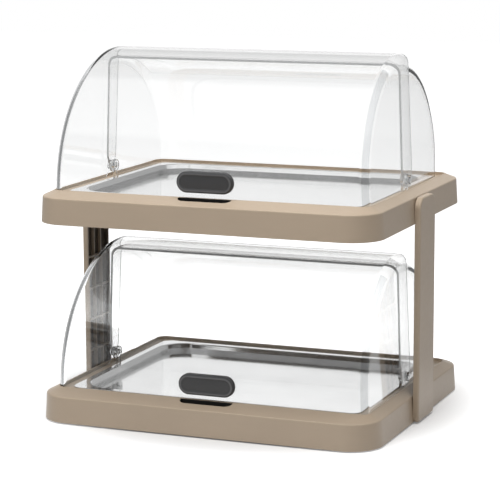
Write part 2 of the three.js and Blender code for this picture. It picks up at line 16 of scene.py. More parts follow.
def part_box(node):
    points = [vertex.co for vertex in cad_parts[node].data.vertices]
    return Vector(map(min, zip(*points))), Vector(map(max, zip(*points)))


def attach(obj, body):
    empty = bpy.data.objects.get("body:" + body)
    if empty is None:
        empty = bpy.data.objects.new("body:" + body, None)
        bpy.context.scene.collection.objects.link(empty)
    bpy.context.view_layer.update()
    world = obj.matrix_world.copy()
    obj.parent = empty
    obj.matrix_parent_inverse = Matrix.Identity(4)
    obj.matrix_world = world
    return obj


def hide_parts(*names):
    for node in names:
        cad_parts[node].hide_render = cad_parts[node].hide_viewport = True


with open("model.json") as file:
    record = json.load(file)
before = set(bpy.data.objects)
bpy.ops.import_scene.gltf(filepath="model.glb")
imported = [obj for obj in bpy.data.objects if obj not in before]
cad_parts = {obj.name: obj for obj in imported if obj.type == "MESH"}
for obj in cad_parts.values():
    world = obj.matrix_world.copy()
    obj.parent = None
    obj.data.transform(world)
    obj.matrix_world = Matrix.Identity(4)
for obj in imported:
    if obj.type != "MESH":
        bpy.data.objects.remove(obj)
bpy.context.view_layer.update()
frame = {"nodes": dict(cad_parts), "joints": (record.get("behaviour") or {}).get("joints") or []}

MM = 0.001
TIERS = ("lower", "upper")
SIDES = (("left", -1), ("right", 1))
QUARTER = math.pi / 2

# Fineness of the round forms
CORNER_STEPS = 16
EDGE_STEPS = 6
EAR_STEPS = 32
HANDLE_END_STEPS = 32
ROD_STEPS = 48
HOOD_ARC_STEPS = 96
HOOD_CORNER_STEPS = 8
BEVEL_SEGMENTS = 2
MERGE_DISTANCE = 0.01 * MM
HOOD_MERGE_DISTANCE = 0.001 * MM

# Base moulding. A face whose normal's Z is below the underside slope gets painted shade, a darker
# taupe
BASE_CORNER = 41 * MM
SKIRT_HEIGHT = 30.4 * MM
SKIRT_DRAFT = 1.8 * MM
SKIRT_WALL = 2.6 * MM
SKIRT_FOOT_ROUND = 0.7 * MM
EDGE_RADIUS = 2.4 * MM
EDGE_TURN = math.radians(70)
RIM_HEIGHT = 38.5 * MM
RIM_END_INSET = 16.5 * MM
RIM_FRONT_INSET = 29.5 * MM
RIM_CORNER = 11.5 * MM
CREST_WIDTH = 1.2 * MM
CREST_ROUND = 0.35 * MM
SEAT_DROP = 3.7 * MM
TUB_CORNER = 18 * MM
TUB_DRAFT = 1.5 * MM
TUB_FLOOR_TOP = 5.4 * MM
BASE_SHEET = 2.4 * MM
BASE_SHARP_ANGLE = math.radians(45)
UNDERSIDE_SHADE_SLOPE = -0.5

# Finger recesses
RECESS_LENGTH = 68 * MM
RECESS_REACH = 12.5 * MM
RECESS_CORNER = 9 * MM
RECESS_DEPTH = 17 * MM
RECESS_CREST = 1.8 * MM
RECESS_EDGE_ROUND = 0.5 * MM

# Hood shells. A lean is how far an end wall leans in for each metre from the pivot axis
SHELL_WALL = 2.5 * MM
HOOD_FLATTENING = 3.5 * MM
HOOD_CORNER = 10 * MM
HOOD_INNER_CORNER = 9.5 * MM
HOOD_FRONT_GAP = 1.5 * MM
HOOD_END_GAP = 1 * MM
FRONT_LEAN = 0.046
REAR_LEAN = 0.035
NEST_REACH = 8 * MM
NEST_RISE = 11 * MM
NEST_END = 2 * MM
FRONT_SHELL_PAST_PIVOT = 12.5 * MM
REAR_SHELL_PAST_PIVOT = 16 * MM
EAR_BLEND = 13 * MM
EAR_RADIUS = 9 * MM
EAR_SWEEP = math.pi * 2 / 3
PIN_RADIUS = 3 * MM
COLLAR_RADIUS = 6.5 * MM
SHELL_EDGE_ROUND = 0.5 * MM
SHELL_SHARP_ANGLE = math.radians(40)

# The part of the front shell's rounded corners that is painted darker, as painted shade for the
# grey line there: the faces from the first to the second corner step, and along the arc from this
# face to the shell's front foot
CORNER_PAINTED_SHADE_STEPS = (2, 7)
CORNER_PAINTED_SHADE_ARC = 62

# Handle. The dish's steps are shares of the face's half height and of the sink's depth
HANDLE_ROUND = 2.2 * MM
HANDLE_RIM = 2.0 * MM
HANDLE_SINK = 0.9 * MM
HANDLE_CROWN = 0.5 * MM
HANDLE_DISH_SHARES = ((0.8, 0.6), (0.98, 0.5))
HANDLE_BACK_DEPTH = 40 * MM
HANDLE_EDGE_ROUND = 0.3 * MM
HANDLE_SHARP_ANGLE = math.radians(50)

# Tray
TRAY_SHEET = 0.9 * MM
TRAY_CORNER = 14 * MM
TRAY_LIP = 8 * MM
TRAY_WELL_CORNER = 36 * MM
TRAY_WELL_GAP = 1.6 * MM
TRAY_RECESS = 10 * MM
TRAY_WALL_RUN = 5 * MM
TRAY_BEND = 2.2 * MM

# Posts. The web share is the part of the web's thickness that is outside the ribs' ends, and the
# upright ribs part a post's width into columns
POST_CORNER = 14 * MM
POST_FOOT_CORNER = 4 * MM
POST_WALL = 2.6 * MM
POST_WEB = 2.4 * MM
POST_WEB_SHARE = 0.7
POST_ROUND = 2.5 * MM
POST_EDGE_ROUND = 0.4 * MM
POST_SHARP_ANGLE = math.radians(50)
POST_RIB = 2 * MM
POST_RIB_RECESS = 1.2 * MM
POST_BAYS = 6
POST_COLUMNS = 3
POST_SCREW_HEIGHT = 13 * MM
RIB_EDGE_ROUND = 0.25 * MM
RIB_SHARP_ANGLE = math.radians(35)
BOX_FACES = ((0, 1, 2, 3), (7, 6, 5, 4), (0, 4, 5, 1), (1, 5, 6, 2), (2, 6, 7, 3), (3, 7, 4, 0))

CLEARANCE = 0.3 * MM
OVERRUN = 4 * MM

# Surface detail. A scale is how many cells of noise there are to a metre, a depth is a relief's
# and a spread is how far a roughness goes below and above its value
NOISE_ROUGHNESS = 0.6
NOISE_SPAN = (0.3, 0.7)
PLASTIC_GLOSS = 0.5
GRAIN_SCALE = 1800
GRAIN_DEPTH = 0.12 * MM
GRAIN_STRENGTH = 0.22
FLOW_SCALE = 9
FLOW_AXIS_SCALES = (1, 1, 2)
FLOW_SHADES = (0.965, 1.03)
GLOSS_SCALE = 160
GLOSS_SPREAD = (0.04, 0.05)
BRUSH_SCALE = 1400
BRUSH_DEPTH = 0.06 * MM
BRUSH_STRENGTH = 0.12
BRUSH_SPREAD = (0.05, 0.07)
BRUSH_AXIS_SCALES = (0.02, 1, 1)
ANISOTROPY = 0.35
STAIN_SCALE = 14
STAIN_SHADES = (0.97, 1.02)
CLEAR_IOR = 1.49
CLEAR_SHADOW_SHADE = 0.985
MARK_SCALE = 60
MARK_SPREAD = 0.02
WAVE_SCALE = 22
WAVE_DEPTH = 0.4 * MM
WAVE_STRENGTH = 0.04

# Colours
TAUPE = (0.49, 0.39, 0.29)
# How much darker the taupe is where it is painted shade
TAUPE_PAINTED_SHADE_FACTOR = 0.3
# Near black, painted as the shade deep in the finger recesses
RECESS_BLACK = (0.012, 0.011, 0.010)
HANDLE_GREY = (0.053, 0.053, 0.055)
# A lighter grey on the handle's raised rim: a painted highlight
HANDLE_RIM_HIGHLIGHT_GREY = (0.115, 0.115, 0.118)
PACK_BLUE = (0.12, 0.27, 0.48)
CAP_WHITE = (0.8, 0.8, 0.79)
RUBBER_BLACK = (0.02, 0.02, 0.02)
TRAY_SILVER = (0.94, 0.94, 0.94)
SCREW_SILVER = (0.5, 0.5, 0.51)
CLEAR_FACE = (0.992, 0.995, 0.995)
# Colour of the shells' cut edges, darker as painted shade for their grey lines
CLEAR_EDGE_PAINTED_SHADE = (0.87, 0.88, 0.89)
# Darker clear plastic on the front shells' corners: painted shade for their grey lines
CLEAR_CORNER_PAINTED_SHADE = (0.62, 0.635, 0.645)

# The studio that reflections show: a white backdrop behind the display, a bright ceiling and
# darker sides and front. A pair gives where a soft change starts and ends, as the Y or Z of the
# direction that is looked in. A reflected ray has a glossy depth above the one named here
BACKDROP_SIDE = (-0.373, 0.928, 0)
BACKDROP_WIDTH = math.radians(18)
BACKDROP_FADE = math.radians(34)
BACKDROP_TOP = (0.42, 0.24)
CEILING_EDGE = (0.48, 0.6)
CEILING_BACK = (0.3, 0.1)
SIDES_TURN = (-0.5, 0.2)
REFLECTED_DEPTH = 0.5
STUDIO_DARK = 0.42
STUDIO_FRONT = 0.18
AMBIENT = 0.31
AMBIENT_SIDE_LOSS = 0.18

# The floor. A pair gives distances from the display's middle between which the floor starts to
# glow towards white, or is darker in reflections, or the weakest and strongest glow. Its paint is
# FLOOR_GREY for stray light, and lighter by FLOOR_SEEN_GREY where it is seen
FLOOR_HALF = 6
FLOOR_RISE = (0.19, 0.36)
FLOOR_GLOW = (0.08, 0.82)
FLOOR_DARKENING = (0.22, 0.45)
FLOOR_GREY = 0.6
FLOOR_SEEN_GREY = 0.2

# Lamps, with their powers in watts
LAMP_AIM = (0, 0, 0.2)
TOP_LIGHT_PLACE = (0.1, -0.45, 2.0)
TOP_LIGHT_SIZE = 1.6
TOP_LIGHT_POWER = 41
FRONT_LIGHT_PLACE = (-1.7, -1.9, 0.75)
FRONT_LIGHT_SIZE = 1.2
FRONT_LIGHT_POWER = 8

# The camera that the photograph's outlines were fitted with
CAMERA_AZIMUTH = math.radians(21.907)
CAMERA_ELEVATION = math.radians(9.962)
CAMERA_ROLL = math.radians(-0.242)
CAMERA_DISTANCE = 2.6175
CAMERA_TARGET = Vector((-0.007, 0, 0.1976))
CAMERA_FOCAL_PIXELS = 2070.9
CAMERA_FAR = 50
IMAGE_PIXELS = 500
SENSOR = 36


def node_box(name):
    """The lowest and highest corners of a model node as vectors."""
    low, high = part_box(name)
    return Vector(low), Vector(high)


def half_sizes(low, high):
    """Half the length, depth and height of a box."""
    return [(top - bottom) / 2 for bottom, top in zip(low, high)]


def pivot_height(tier):
    """The height of the axis that both shells of a tier turn about."""
    hinge = next(j for j in frame["joints"] if j["name"] == f"{tier}_front_hood_hinge")
    return hinge["pos_m"][2]


# The hoods' outer sizes about their pivots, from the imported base
HoodSize = namedtuple("HoodSize", "reach rise half_x")
BASE_HALF_X, BASE_HALF_Y, _ = half_sizes(*node_box("lower_base"))
FRONT_REACH = BASE_HALF_Y - RIM_FRONT_INSET - HOOD_FRONT_GAP
FRONT_SIZE = HoodSize(
    FRONT_REACH,
    FRONT_REACH - HOOD_FLATTENING,
    BASE_HALF_X - RIM_END_INSET - HOOD_END_GAP,
)
REAR_SIZE = HoodSize(
    FRONT_SIZE.reach - NEST_REACH,
    FRONT_SIZE.rise - NEST_RISE,
    FRONT_SIZE.half_x - SHELL_WALL - NEST_END,
)


def turns(angle, steps=EDGE_STEPS):
    """The angles from 0 to a given one, in equal steps."""
    return [angle * step / steps for step in range(steps + 1)]


def new_object(name, vertices, faces):
    """A mesh object in the scene from plain lists of points and faces."""
    mesh = bpy.data.meshes.new(name)
    mesh.from_pydata([tuple(v) for v in vertices], [], faces)
    mesh.validate()
    thing = bpy.data.objects.new(name, mesh)
    bpy.context.scene.collection.objects.link(thing)
    return thing


def ring(half_x, half_y, corner, height, steps=CORNER_STEPS, front_corner=None):
    """A rounded rectangle seen from above, anticlockwise, at one height.

    The two corners on its negative Y side may have a radius of their own.
    """
    points = []
    for quarter, (side_x, side_y) in enumerate(((1, 1), (-1, 1), (-1, -1), (1, -1))):
        radius = corner if side_y > 0 or front_corner is None else front_corner
        for step in range(steps + 1):
            angle = (quarter + step / steps) * QUARTER
            points.append(Vector((
                side_x * (half_x - radius) + radius * math.cos(angle),
                side_y * (half_y - radius) + radius * math.sin(angle),
                height,
            )))
    return points


def loft(name, rings, place=Matrix(), fan_points=None):
    """A closed skin through stacked outlines of equal count.

    Each end is capped with a flat face, or with a fan from one of the two given points.
    """
    count = len(rings[0])
    points = [place @ p for outline in rings for p in outline]
    faces = []
    for level in range(len(rings) - 1):
        for spot in range(count):
            here = level * count + spot
            after = level * count + (spot + 1) % count
            faces.append((here, after, after + count, here + count))
    last = (len(rings) - 1) * count
    if fan_points is None:
        faces.append(tuple(reversed(range(count))))
        faces.append(tuple(range(last, last + count)))
    else:
        points += [place @ p for p in fan_points]
        for spot in range(count):
            after = (spot + 1) % count
            faces.append((after, spot, len(points) - 2))
            faces.append((last + spot, last + after, len(points) - 1))
    return new_object(name, points, faces)


def combine(target, tool, operation):
    """Cuts, joins or intersects target with tool, and removes tool."""
    modifier = target.modifiers.new("combine", "BOOLEAN")
    modifier.operation = operation
    modifier.solver = "EXACT"
    modifier.material_mode = "TRANSFER"
    modifier.object = tool
    graph = bpy.context.evaluated_depsgraph_get()
    mesh = bpy.data.meshes.new_from_object(target.evaluated_get(graph))
    target.modifiers.clear()
    target.data = mesh
    bpy.data.objects.remove(tool)


def clean(thing, merge=MERGE_DISTANCE):
    """Merges doubled points and makes the faces point outwards."""
    work = bmesh.new()
    work.from_mesh(thing.data)
    bmesh.ops.remove_doubles(work, verts=work.verts, dist=merge)
    bmesh.ops.dissolve_degenerate(work, edges=work.edges, dist=merge)
    bmesh.ops.recalc_face_normals(work, faces=work.faces)
    work.to_mesh(thing.data)
    work.free()
    return thing


def soften(thing, width, sharp_angle):
    """Rounds the sharp edges a little and shades the rest smooth."""
    clean(thing)
    thing.data.shade_smooth()
    bevel = thing.modifiers.new("soften", "BEVEL")
    bevel.width = width
    bevel.segments = BEVEL_SEGMENTS
    bevel.limit_method = "ANGLE"
    bevel.angle_limit = sharp_angle
    bevel.harden_normals = True
    bevel.use_clamp_overlap = True
    weighted = thing.modifiers.new("weighted", "WEIGHTED_NORMAL")
    weighted.keep_sharp = True


def paint(thing, *materials):
    """Gives a piece one material slot for each of the materials."""
    for material in materials:
        thing.data.materials.append(material)
    return thing


def dress(thing, body, replaced=()):
    """Gives a piece the body it rides on and hides the model nodes it stands for."""
    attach(thing, body)
    if replaced:
        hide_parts(*replaced)


# Materials


class Nodes:
    """Short calls for the node tree of a new material, or of the world."""

    def __init__(self, name, tree=None, output="ShaderNodeOutputMaterial"):
        if tree is None:
            self.material = bpy.data.materials.new(name)
            self.material.use_nodes = True
            tree = self.material.node_tree
        self.tree = tree
        self.tree.nodes.clear()
        self.output = self.tree.nodes.new(output)

    def add(self, kind, values=None, links=None, **settings):
        """A node with settings, socket values and links by socket name or number."""
        node = self.tree.nodes.new(kind)
        for key, value in settings.items():
            setattr(node, key, value)
        for key, value in (values or {}).items():
            node.inputs[key].default_value = value
        for key, source in (links or {}).items():
            self.tree.links.new(source, node.inputs[key])
        return node

    def show(self, shader):
        """Makes a shader node's result the surface that is seen."""
        self.tree.links.new(shader.outputs[0], self.output.inputs["Surface"])

    def feed(self, node, values):
        """Fills a node's sockets with values, each a number or a socket to link."""
        for key, value in values.items():
            if isinstance(value, bpy.types.NodeSocket):
                self.tree.links.new(value, node.inputs[key])
            else:
                node.inputs[key].default_value = value

    def math(self, operation, first, second):
        """A calculation with two values, each a number or a socket."""
        node = self.add("ShaderNodeMath", operation=operation)
        self.feed(node, {0: first, 1: second})
        return node.outputs[0]

    def blend(self, share, first, second):
        """The first value where share is 0 and the second where it is 1."""
        node = self.add("ShaderNodeMix")
        self.feed(node, {"Factor": share, "A": first, "B": second})
        return node.outputs["Result"]

    def vector(self, operation, first, second=None, result="Vector"):
        """A calculation with a vector socket and, where it takes one, a fixed second vector."""
        values = {} if second is None else {1: second}
        node = self.add("ShaderNodeVectorMath", values, {0: first}, operation=operation)
        return node.outputs[result]

    def smooth(self, source, span, levels=(0, 1)):
        """Goes softly from one level to the other as the source goes through the span."""
        return self.add(
            "ShaderNodeMapRange",
            {"From Min": span[0], "From Max": span[1], "To Min": levels[0], "To Max": levels[1]},
            {"Value": source},
            interpolation_type="SMOOTHSTEP",
        ).outputs["Result"]

    def noise(self, scale, detail, axis_scales=(1, 1, 1)):
        """Noise in the model's own coordinates, drawn out along an axis with a small scale."""
        place = self.add("ShaderNodeTexCoord")
        mapping = self.add(
            "ShaderNodeMapping",
            {"Scale": axis_scales},
            {"Vector": place.outputs["Object"]},
        )
        return self.add(
            "ShaderNodeTexNoise",
            {"Scale": scale, "Detail": detail, "Roughness": NOISE_ROUGHNESS},
            {"Vector": mapping.outputs["Vector"]},
        ).outputs["Fac"]

    def spread(self, source, low, high):
        """Maps noise around its middle to a range of values."""
        return self.add(
            "ShaderNodeMapRange",
            {"From Min": NOISE_SPAN[0], "From Max": NOISE_SPAN[1], "To Min": low, "To Max": high},
            {"Value": source},
        ).outputs["Result"]

    def tint(self, source, colour, shades):
        """A colour that goes from one shade to another as noise goes from low to high."""
        mix = self.add("ShaderNodeMix", data_type="RGBA")
        mix.inputs["A"].default_value = (*shade(colour, shades[0]), 1)
        mix.inputs["B"].default_value = (*shade(colour, shades[1]), 1)
        self.tree.links.new(self.spread(source, 0, 1), mix.inputs["Factor"])
        return mix.outputs["Result"]

    def bump(self, source, strength, depth):
        """The surface's normal, tilted as by a relief of the given depth."""
        return self.add(
            "ShaderNodeBump",
            {"Strength": strength, "Distance": depth},
            {"Height": source},
        ).outputs["Normal"]


def shade(colour, factor):
    """A colour made darker or lighter by a factor."""
    return tuple(min(1, c * factor) for c in colour)


def moulded(name, colour, roughness, grain=GRAIN_DEPTH, gloss=PLASTIC_GLOSS):
    """Moulded plastic: a fine grain, faint flow marks and slightly uneven gloss."""
    nodes = Nodes(name)
    fine = nodes.noise(GRAIN_SCALE, detail=2)
    broad = nodes.noise(FLOW_SCALE, detail=4, axis_scales=FLOW_AXIS_SCALES)
    patches = nodes.noise(GLOSS_SCALE, detail=3)
    glossier, duller = GLOSS_SPREAD
    nodes.show(nodes.add(
        "ShaderNodeBsdfPrincipled",
        {"Specular IOR Level": gloss},
        {
            "Base Color": nodes.tint(broad, colour, FLOW_SHADES),
            "Roughness": nodes.spread(patches, roughness - glossier, roughness + duller),
            "Normal": nodes.bump(fine, GRAIN_STRENGTH, grain),
        },
    ))
    return nodes.material


def brushed(name, colour, roughness, axis_scales=(1, 1, 1)):
    """Plain steel with a fine grain, or sheet brushed along the axis with a small scale."""
    nodes = Nodes(name)
    grain = nodes.noise(BRUSH_SCALE, detail=4, axis_scales=axis_scales)
    broad = nodes.noise(STAIN_SCALE, detail=3)
    glossier, duller = BRUSH_SPREAD
    nodes.show(nodes.add(
        "ShaderNodeBsdfPrincipled",
        {"Metallic": 1.0, "Anisotropic": ANISOTROPY},
        {
            "Base Color": nodes.tint(broad, colour, STAIN_SHADES),
            "Roughness": nodes.spread(grain, roughness - glossier, roughness + duller),
            "Normal": nodes.bump(grain, BRUSH_STRENGTH, BRUSH_DEPTH),
        },
    ))
    return nodes.material


def clear(name, colour, roughness=0.0, clarity=1.0):
    """Clear moulded plastic that lets lamplight through, with faint handling marks in its gloss."""
    nodes = Nodes(name)
    marks = nodes.spread(nodes.noise(MARK_SCALE, detail=5), roughness, roughness + MARK_SPREAD)
    wave = nodes.noise(WAVE_SCALE, detail=2)
    skin = nodes.add(
        "ShaderNodeBsdfPrincipled",
        {"Base Color": (*colour, 1), "IOR": CLEAR_IOR, "Transmission Weight": clarity},
        {"Roughness": marks, "Normal": nodes.bump(wave, WAVE_STRENGTH, WAVE_DEPTH)},
    )
    shadow_tint = (*shade(colour, CLEAR_SHADOW_SHADE), 1)
    through = nodes.add("ShaderNodeBsdfTransparent", {"Color": shadow_tint})
    path = nodes.add("ShaderNodeLightPath")
    nodes.show(nodes.add("ShaderNodeMixShader", links={
        0: path.outputs["Is Shadow Ray"],
        1: skin.outputs["BSDF"],
        2: through.outputs["BSDF"],
    }))
    return nodes.material


taupe = moulded("taupe_plastic", TAUPE, roughness=0.33)
# Taupe made darker as painted shade, for the bases' undersides and the posts' hollows
taupe_painted_shade = moulded(
    "taupe_plastic_painted_shade",
    shade(TAUPE, TAUPE_PAINTED_SHADE_FACTOR),
    roughness=0.6,
    gloss=0.2,
)
recess_black = moulded("recess_painted_shade", RECESS_BLACK, roughness=0.6)
handle_grey = moulded("handle_plastic", HANDLE_GREY, roughness=0.45, grain=0.2 * MM)
handle_rim_highlight = moulded("handle_plastic_rim_highlight", HANDLE_RIM_HIGHLIGHT_GREY, roughness=0.35)
pack_blue = moulded("pack_plastic", PACK_BLUE, roughness=0.4)
cap_white = moulded("cap_plastic", CAP_WHITE, roughness=0.45)
foot_rubber = moulded("foot_rubber", RUBBER_BLACK, roughness=0.8, grain=0.3 * MM, gloss=0.3)
tray_steel = brushed("tray_steel", TRAY_SILVER, roughness=0.11, axis_scales=BRUSH_AXIS_SCALES)
screw_steel = brushed("screw_steel", SCREW_SILVER, roughness=0.3)
clear_plastic = clear("clear_plastic", CLEAR_FACE)
# Cut edges: matt and cloudy, and darker as painted shade
clear_matt_edge_and_shade = clear("clear_plastic_matt_edge_and_shade", CLEAR_EDGE_PAINTED_SHADE, roughness=0.2, clarity=0.4)
clear_corner_painted_shade = clear("clear_plastic_corner_painted_shade", CLEAR_CORNER_PAINTED_SHADE, roughness=0.02)


# Base


def base_rings(low, high):
    """Outlines of one base's skin, from under the tub outwards, up, and down into the tub."""
    half_x, half_y, _ = half_sizes(low, high)
    rim_x, rim_y = half_x - RIM_END_INSET, half_y - RIM_FRONT_INSET
    tray_half_x, tray_half_y, _ = half_sizes(*node_box("lower_tray"))
    well_x, well_y = tray_half_x - TRAY_LIP, tray_half_y - TRAY_LIP
    seat = RIM_HEIGHT - SEAT_DROP

    def skirt(inset, height):
        return ring(half_x - inset, half_y - inset, BASE_CORNER - inset, low.z + height)

    def rim(outset, height):
        return ring(rim_x + outset, rim_y + outset, RIM_CORNER + outset, low.z + height)

    def tub(inset, height):
        return ring(well_x - inset, well_y - inset, TUB_CORNER - inset, low.z + height)

    underside = [
        tub(-BASE_SHEET + TUB_DRAFT, TUB_FLOOR_TOP - BASE_SHEET),
        tub(-BASE_SHEET, seat - BASE_SHEET),
        rim(0, seat - BASE_SHEET),
        skirt(SKIRT_WALL + SKIRT_DRAFT, SKIRT_HEIGHT - SKIRT_WALL),
        skirt(SKIRT_WALL, SKIRT_FOOT_ROUND),
        skirt(SKIRT_WALL - SKIRT_FOOT_ROUND, 0),
    ]
    skirt_foot = [
        skirt(SKIRT_FOOT_ROUND * (1 - math.sin(a)), SKIRT_FOOT_ROUND * (1 - math.cos(a)))
        for a in turns(QUARTER)
    ]
    skirt_edge = [
        skirt(
            SKIRT_DRAFT + EDGE_RADIUS * (1 - math.cos(a)),
            SKIRT_HEIGHT + EDGE_RADIUS * math.sin(a),
        )
        for a in turns(EDGE_TURN)
    ]
    crest_outside = [
        rim(
            CREST_WIDTH - CREST_ROUND * (1 - math.cos(a)),
            RIM_HEIGHT - CREST_ROUND * (1 - math.sin(a)),
        )
        for a in turns(QUARTER)
    ]
    crest_inside = [
        rim(CREST_ROUND * (1 - math.sin(a)), RIM_HEIGHT - CREST_ROUND * (1 - math.cos(a)))
        for a in turns(QUARTER)
    ]
    inside = [
        rim(0, seat),
        tub(-TUB_DRAFT / 2, seat),
        tub(0, seat - TUB_DRAFT / 2),
        tub(TUB_DRAFT, TUB_FLOOR_TOP),
    ]
    return underside + skirt_foot + skirt_edge + crest_outside + crest_inside + inside


def recess_outline(rim_half_y, height):
    """The finger recess seen from above: straight along the hood, round towards the outside."""
    half = RECESS_LENGTH / 2
    near = -(rim_half_y + RECESS_CREST)
    far = -(rim_half_y + RECESS_REACH)
    points = [Vector((half, near, height)), Vector((-half, near, height))]
    for centre, start in ((RECESS_CORNER - half, math.pi), (half - RECESS_CORNER, QUARTER * 3)):
        for turn in turns(QUARTER, CORNER_STEPS):
            points.append(Vector((
                centre + RECESS_CORNER * math.cos(start + turn),
                far + RECESS_CORNER + RECESS_CORNER * math.sin(start + turn),
                height,
            )))
    return points


def grown(points, amount):
    """An outline's points moved away from its middle, as far along X as along Y."""
    middle = sum(points, Vector()) / len(points)
    return [
        Vector((
            p.x + math.copysign(amount, p.x - middle.x),
            p.y + math.copysign(amount, p.y - middle.y),
            p.z,
        ))
        for p in points
    ]


def build_base(tier):
    """The base moulding with its two finger recesses, one in front and one behind."""
    low, high = node_box(f"{tier}_base")
    thing = paint(loft(f"{tier}_base_moulding", base_rings(low, high)), taupe)
    rim_half_y = half_sizes(low, high)[1] - RIM_FRONT_INSET
    rim_top = low.z + RIM_HEIGHT
    floor = rim_top - RECESS_DEPTH
    for turn in (0, math.pi):
        place = Matrix.Rotation(turn, 4, "Z")
        walls = loft("recess_walls", [
            grown(recess_outline(rim_half_y, floor - BASE_SHEET), BASE_SHEET),
            grown(recess_outline(rim_half_y, rim_top - SEAT_DROP - BASE_SHEET / 2), BASE_SHEET),
        ], place)
        combine(thing, paint(walls, taupe), "UNION")
        hollow = loft("recess_hollow", [
            recess_outline(rim_half_y, floor),
            recess_outline(rim_half_y, rim_top + OVERRUN),
        ], place)
        # The recess walls take the near-black material: painted shade
        combine(thing, paint(hollow, recess_black), "DIFFERENCE")
    soften(thing, RECESS_EDGE_ROUND, BASE_SHARP_ANGLE)
    # Faces that point down, above the skirt's foot, get the darker taupe as painted shade
    paint(thing, taupe_painted_shade)
    for face in thing.data.polygons:
        if face.normal.z < UNDERSIDE_SHADE_SLOPE and face.center.z > low.z + SKIRT_WALL:
            face.material_index = len(thing.data.materials) - 1
    dress(thing, "root", [f"{tier}_base"])


# Tray


def build_tray(tier):
    """The pressed tray: a flat lip, rounded bends, sloping walls and a flat floor."""
    low, high = node_box(f"{tier}_tray")
    half_x, half_y, _ = half_sizes(low, high)
    well_x, well_y = (half - TRAY_LIP - TRAY_WELL_GAP for half in (half_x, half_y))
    top = high.z
    floor = top - TRAY_RECESS
    slope = math.atan2(TRAY_RECESS, TRAY_WALL_RUN)
    tangent = TRAY_BEND * math.tan(slope / 2)
    half_sheet = TRAY_SHEET / 2

    def lip(inset, height):
        return ring(half_x - inset, half_y - inset, TRAY_CORNER - inset, height)

    def well(inset, height):
        return ring(well_x - inset, well_y - inset, TRAY_WELL_CORNER - inset, height)

    rings = [
        well(TRAY_WALL_RUN + TRAY_BEND, floor - TRAY_SHEET),
        well(-TRAY_BEND / 2, top - TRAY_SHEET),
        lip(half_sheet, top - TRAY_SHEET),
    ]
    rings += [
        lip(half_sheet * (1 - math.sin(a)), top - half_sheet - half_sheet * math.cos(a))
        for a in turns(math.pi)
    ]
    rings += [
        well(TRAY_BEND * math.sin(a) - tangent, top - TRAY_BEND * (1 - math.cos(a)))
        for a in turns(slope)
    ]
    rings += [
        well(
            TRAY_WALL_RUN + tangent - TRAY_BEND * math.sin(a),
            floor + TRAY_BEND * (1 - math.cos(a)),
        )
        for a in reversed(turns(slope))
    ]
    thing = clean(loft(f"{tier}_pressed_tray", rings))
    thing.data.shade_smooth()
    thing.modifiers.new("weighted", "WEIGHTED_NORMAL")
    dress(paint(thing, tray_steel), "root", [f"{tier}_tray"])


# Hood shells


def flat_lean(y, z):
    """How far the front shell's flat end walls lean in, y and z from the pivot axis; y is not used.
    """
    return FRONT_LEAN * z


def cone_lean(y, z):
    """The same for the rear shell, whose end walls are shallow cones about the pivot axis."""
    return REAR_LEAN * math.hypot(y, z)


def hood_body(name, size, shrink, corner, foot, pivot, lean, materials):
    """A full hood body about the pivots, smaller all round by shrink, down to foot.

    A second material, darker as painted shade, goes on the low front part of the rounded corners.
    """
    reach, rise, half_x = (value - shrink for value in size)
    outlines = []
    for side in (-1, 1):
        for step in range(HOOD_CORNER_STEPS + 1):
            share = step / HOOD_CORNER_STEPS if side < 0 else 1 - step / HOOD_CORNER_STEPS
            inset = corner * (1 - math.sin(share * QUARTER))
            end = half_x - corner * (1 - math.cos(share * QUARTER))
            section = [(reach - inset, foot)]
            for arc in range(HOOD_ARC_STEPS + 1):
                angle = arc / HOOD_ARC_STEPS * math.pi
                section.append((
                    (reach - inset) * math.cos(angle),
                    (rise - inset) * math.sin(angle),
                ))
            section += [(inset - reach, foot), (0, foot)]
            outlines.append([
                Vector((side * (end - lean(y, z)), y, pivot + z)) for y, z in section
            ])
    middles = [Vector((side * half_x, 0, pivot)) for side in (-1, 1)]
    thing = paint(loft(name, outlines, fan_points=middles), *materials)
    if len(materials) > 1:
        count = len(outlines[0])
        for face in thing.data.polygons:
            level = face.index // count
            step = min(level, len(outlines) - 2 - level)
            rounding = CORNER_PAINTED_SHADE_STEPS[0] <= step < CORNER_PAINTED_SHADE_STEPS[1]
            if rounding and face.index % count >= CORNER_PAINTED_SHADE_ARC:
                face.material_index = 1
    return clean(thing, HOOD_MERGE_DISTANCE)


def shell_region(front, foot, far, half_x, pivot):
    """What a shell keeps of a full hood: one side, up to a straight edge and a round ear."""
    past = FRONT_SHELL_PAST_PIVOT if front < 0 else REAR_SHELL_PAST_PIVOT
    points = [(-front * past, far), (-front * past, EAR_BLEND)]
    start, sweep = (0, -EAR_SWEEP) if front < 0 else (math.pi, EAR_SWEEP)
    for turn in turns(sweep, EAR_STEPS):
        points.append((EAR_RADIUS * math.cos(start + turn), EAR_RADIUS * math.sin(start + turn)))
    points += [
        (front * (EAR_RADIUS + EAR_BLEND / 2), foot),
        (front * far, foot),
        (front * far, far),
    ]
    outlines = [[Vector((x, y, pivot + z)) for y, z in points] for x in (-half_x, half_x)]
    return paint(clean(loft("shell_region", outlines)), clear_matt_edge_and_shade)


def pivot_rod(name, radius, start, end, pivot, material):
    """A round rod along a tier's pivot axis, from one X to another."""
    outlines = []
    for x in (start, end):
        outlines.append([
            Vector((x, radius * math.cos(a), pivot + radius * math.sin(a)))
            for a in (math.tau * step / ROD_STEPS for step in range(ROD_STEPS))
        ])
    return paint(clean(loft(name, outlines)), material)


